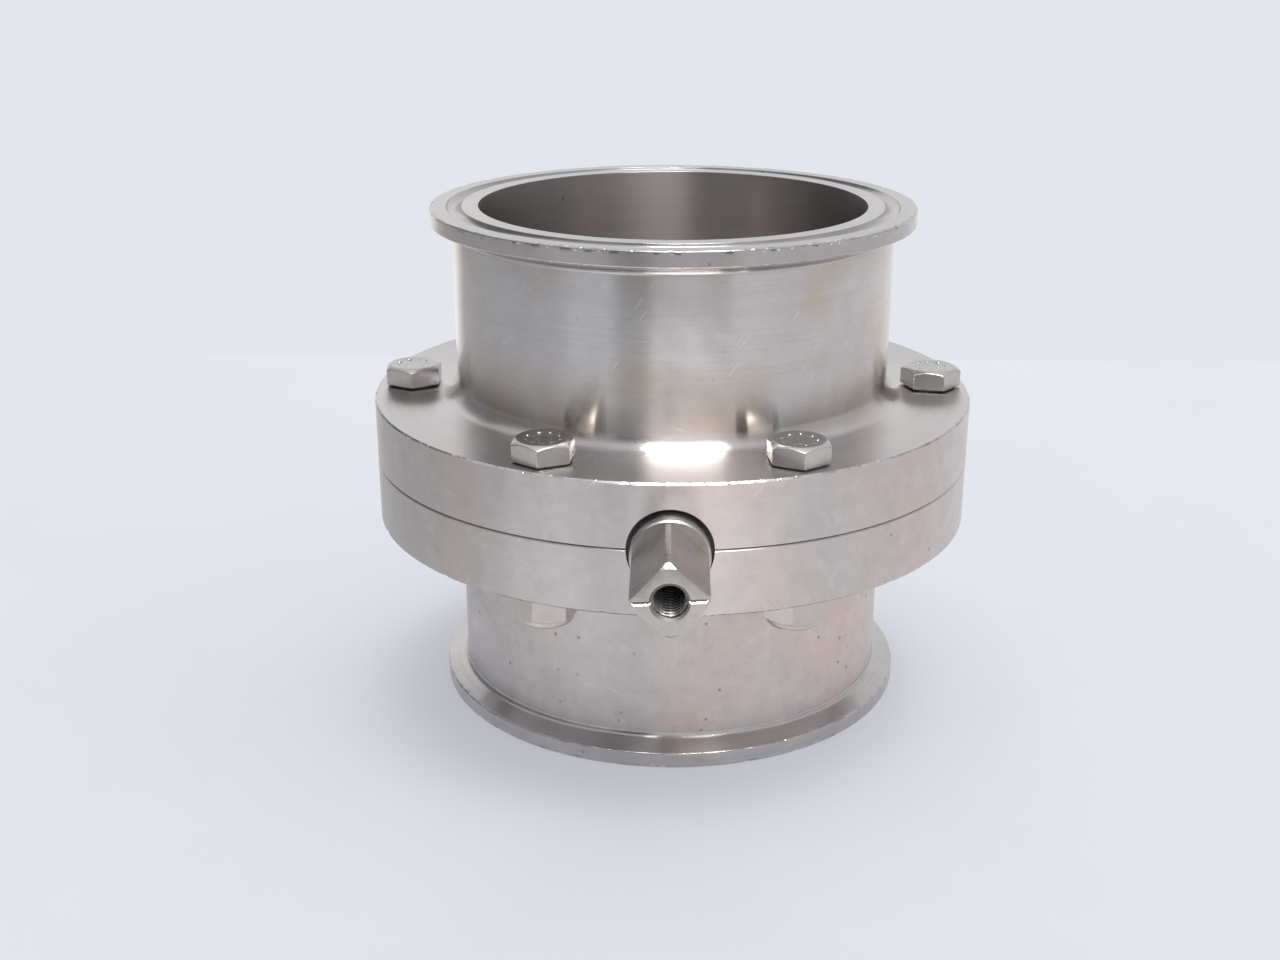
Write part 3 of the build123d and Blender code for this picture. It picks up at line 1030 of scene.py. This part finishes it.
def make_disc():
    """The flap as two mirrored height fields on rings that crowd together at the rim."""
    segments = DISC_SEGMENTS
    rings = [DISC_STEP * k for k in range(1, 58)]
    rings += [math.sqrt(DISC_R**2 - (DISC_RIM_HALF * share)**2) for share in DISC_RIM_SHARES]
    rings.append(DISC_R)
    verts = [(0, 0, HUB_R), (0, 0, -HUB_R)]
    for side in (1, -1):
        for r in rings[:-1]:
            for i in range(segments):
                angle = 2 * math.pi * i / segments
                x = r * math.cos(angle)
                verts.append((x, r * math.sin(angle), side * disc_height(x, r)))
    rim = len(verts)
    for i in range(segments):
        angle = 2 * math.pi * i / segments
        verts.append((DISC_R * math.cos(angle), DISC_R * math.sin(angle), 0))
    faces = []
    inner = len(rings) - 1
    for side in range(2):
        start = 2 + side * inner * segments
        for i in range(segments):
            j = (i + 1) % segments
            faces.append((side, start + i, start + j))
            for k in range(inner - 1):
                a = start + k * segments
                b = a + segments
                faces.append((a + i, b + i, b + j, a + j))
            last = start + (inner - 1) * segments
            faces.append((last + i, rim + i, rim + j, last + j))
    disc = new_object("disc_detail", verts, faces)
    finish_mesh(disc)
    disc.matrix_world = Matrix.Translation((0, 0, JOINT_Z))
    disc.data.materials.append(DISC_STEEL)
    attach(disc, "disc_and_stem")
    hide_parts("disc")


# ---------------------------------------------------------------------------
# Camera
# ---------------------------------------------------------------------------


CAMERA_PLACE = Vector((0.05, -294.96, 146.09)) * mm
CAMERA_FORWARD = Vector((-0.01973, 0.93972, -0.34137))
CAMERA_LENS = 44.144
CAMERA_SENSOR = 36.0
CAMERA_CLIP = (0.01, 20.0)


def make_camera():
    forward = CAMERA_FORWARD.normalized()
    right = forward.cross(Vector((0, 0, 1))).normalized()
    up = right.cross(forward)
    camera = bpy.data.objects.new("camera", bpy.data.cameras.new("camera"))
    camera.data.sensor_width = CAMERA_SENSOR
    camera.data.lens = CAMERA_LENS
    camera.data.clip_start, camera.data.clip_end = CAMERA_CLIP
    turn = Matrix((right, up, -forward)).transposed()
    camera.matrix_world = Matrix.Translation(CAMERA_PLACE) @ turn.to_4x4()
    bpy.context.scene.collection.objects.link(camera)
    bpy.context.scene.camera = camera


# ---------------------------------------------------------------------------
# Studio: floor, surroundings and lights
# ---------------------------------------------------------------------------


FLOOR_HALF = 3.0
FLOOR_END = 0.231           # the table ends here, and the pale room shows behind it
TABLE_CLOUD = (14.0, 4.0, 0.6)
TABLE_TONES = ((0.245, 0.248, 0.262, 1), (0.257, 0.26, 0.275, 1))
# The table glows faintly and evenly, and less round the foot as a painted shadow.
SHADE_CENTRE = (-6 * mm, -8 * mm)
SHADE_RADII = (40 * mm, 64 * mm)
SHADE_GLOW = (0.37, 0.375, 0.402, 1)
OPEN_GLOW = (0.465, 0.472, 0.503, 1)
ROOM = (0.775, 0.79, 0.85, 1)


def make_floor():
    corners = [
        (-FLOOR_HALF, -FLOOR_HALF, 0),
        (FLOOR_HALF, -FLOOR_HALF, 0),
        (FLOOR_HALF, FLOOR_END, 0),
        (-FLOOR_HALF, FLOOR_END, 0),
    ]
    floor = new_object("floor", corners, [(0, 1, 2, 3)])
    made, g = material("pale_table")
    place = g.place()
    cloud = g.noise(place, *TABLE_CLOUD)
    x, y, _ = g.split(place)
    r = g.radius(g.sum(x, -SHADE_CENTRE[0]), g.sum(y, -SHADE_CENTRE[1]))
    g.surface("ShaderNodeBsdfPrincipled", {
        "Base Color": g.mix(g.between(cloud, 0.35, 0.65), *TABLE_TONES),
        "Roughness": 0.8,
        "Specular IOR Level": 0.1,
        # painted shadow: the glow dims round the foot
        "Emission Color": g.mix(g.between(r, *SHADE_RADII), SHADE_GLOW, OPEN_GLOW),
        "Emission Strength": 1.0,
    })
    floor.data.materials.append(made)


def make_world():
    world = bpy.data.worlds.new("studio")
    world.use_nodes = True
    bpy.context.scene.world = world
    g = Graph(world.node_tree)
    background = g.node("ShaderNodeBackground", {"Color": ROOM, "Strength": 1.0})
    g.node("ShaderNodeOutputWorld", {0: background.outputs[0]})


# What the steel mirrors all round: (azimuth in degrees from the front, positive to the right, brightness),
# above the table, on the far part of the table, and on the part close to the object.
AROUND = (
    (-180, 0.92), (-146, 0.94), (-132, 0.24), (-75, 0.18), (-56, 0.22), (-46, 0.33), (-30, 0.34),
    (-24, 0.10), (-12, 0.10), (-7, 0.60), (10, 0.72), (22, 0.62), (33, 0.62), (60, 0.52), (110, 0.60),
    (150, 0.85), (180, 0.90),
)
FAR_TABLE = (
    (-180, 0.95), (-148, 1.10), (-132, 0.57), (-105, 0.55), (-60, 0.62), (-46, 0.72), (-30, 0.70),
    (-23, 0.46), (-14, 0.46), (-6, 0.62), (8, 0.68), (24, 0.62), (31, 0.85), (60, 0.79), (110, 0.80),
    (150, 0.88), (180, 0.90),
)
NEAR_TABLE = (
    (-180, 0.95), (-148, 1.02), (-132, 0.64), (-105, 0.60), (-65, 0.70), (-45, 1.00), (-28, 1.14),
    (-18, 0.92), (0, 0.95), (24, 0.90), (60, 0.86), (110, 0.82), (150, 0.84), (180, 0.86),
)
WALL_PROFILE = ((0.9, -0.02), (0.9, 0.75))
TABLE_PROFILE = ((0.072, 0.0003), (0.9, 0.0003))
NEAR_TO_FAR = (0.17, 0.25)
LAMP_WHITE = (1, 0.985, 0.97, 1)


def reflection_only(thing):
    """A studio card that only mirror-like surfaces see."""
    thing.visible_camera = False
    thing.visible_diffuse = False
    thing.visible_shadow = False
    thing.visible_transmission = False


def by_azimuth(g, place, stops):
    """The brightness that the stops give in the direction of a place."""
    turn = g.math("ARCTAN2", place[0], g.product(place[1], -1.0))
    share = g.math("MULTIPLY_ADD", turn, 0.5 / math.pi, 0.5)
    return g.ramp(share, [(a / 360 + 0.5, (v, v, v * 1.02)) for a, v in stops])


def wall_light(g, place):
    """The room's light and dark sides."""
    return by_azimuth(g, place, AROUND)


def table_light(g, place):
    """The mirrored table's light and dark, close to the object and further out."""
    far = g.between(g.radius(place[0], place[1]), *NEAR_TO_FAR)
    return g.mix(far, by_azimuth(g, place, NEAR_TABLE), by_azimuth(g, place, FAR_TABLE))


def make_glowing_ring(name, profile, light):
    """An open ring round the object between two (radius, height) points, outside the picture."""
    verts = []
    faces = []
    for i in range(RING_SEGMENTS):
        angle = 2 * math.pi * i / RING_SEGMENTS
        verts += [(r * math.sin(angle), -r * math.cos(angle), z) for r, z in profile]
        j = (i + 1) % RING_SEGMENTS
        faces.append((2 * i, 2 * i + 1, 2 * j + 1, 2 * j))
    ring = new_object(name, verts, faces)
    made, g = material(name)
    g.surface("ShaderNodeEmission", {"Color": light(g, g.split(g.place())), "Strength": 1.0})
    ring.data.materials.append(made)
    reflection_only(ring)


def aim(place, target):
    return (Vector(target) - Vector(place)).to_track_quat("-Z", "Y")


def make_card(name, place, target, size_x, size_y, strength):
    """A bright card seen only in the steel."""
    half_x = size_x / 2
    half_y = size_y / 2
    corners = [(-half_x, -half_y, 0), (half_x, -half_y, 0), (half_x, half_y, 0), (-half_x, half_y, 0)]
    card = new_object(name, corners, [(0, 1, 2, 3)])
    card.matrix_world = Matrix.Translation(place) @ aim(place, target).to_matrix().to_4x4()
    made, g = material(name)
    g.surface("ShaderNodeEmission", {"Color": LAMP_WHITE, "Strength": strength})
    card.data.materials.append(made)
    reflection_only(card)


def area_light(name, place, target, size, power):
    """A soft lamp that lights the table and the matte parts, and does not show in the steel."""
    data = bpy.data.lights.new(name, "AREA")
    data.shape = "RECTANGLE"
    data.size = size
    data.size_y = size
    data.energy = power
    lamp = bpy.data.objects.new(name, data)
    lamp.location = place
    lamp.rotation_euler = aim(place, target).to_euler()
    lamp.visible_glossy = False
    bpy.context.scene.collection.objects.link(lamp)


def make_studio():
    make_floor()
    make_world()
    make_glowing_ring("surround", WALL_PROFILE, wall_light)
    make_glowing_ring("table_glow", TABLE_PROFILE, table_light)
    centre = (0, 0, 0.05)
    make_card("overhead_card", (0.075, -0.36, 0.83), centre, size_x=0.42, size_y=0.18, strength=25.0)
    area_light("overhead", (0.06, 0.24, 1.0), centre, size=0.9, power=4.6)
    area_light("right_box", (0.8, -0.2, 0.8), centre, size=0.5, power=1.8)


def cad_finish(name):
    """The material of a piece that keeps its CAD shape."""
    if "insert" in name:
        return INSERT
    if name == "seat_ring":
        return RUBBER
    return BUSH if "bush" in name else STEM_STEEL


make_camera()
make_bodies()
make_stem()
make_disc()
place_fasteners()
for name, node in frame["nodes"].items():
    node.data.materials.clear()
    node.data.materials.append(cad_finish(name))
make_studio()
bpy.context.scene.view_settings.view_transform = "Standard"
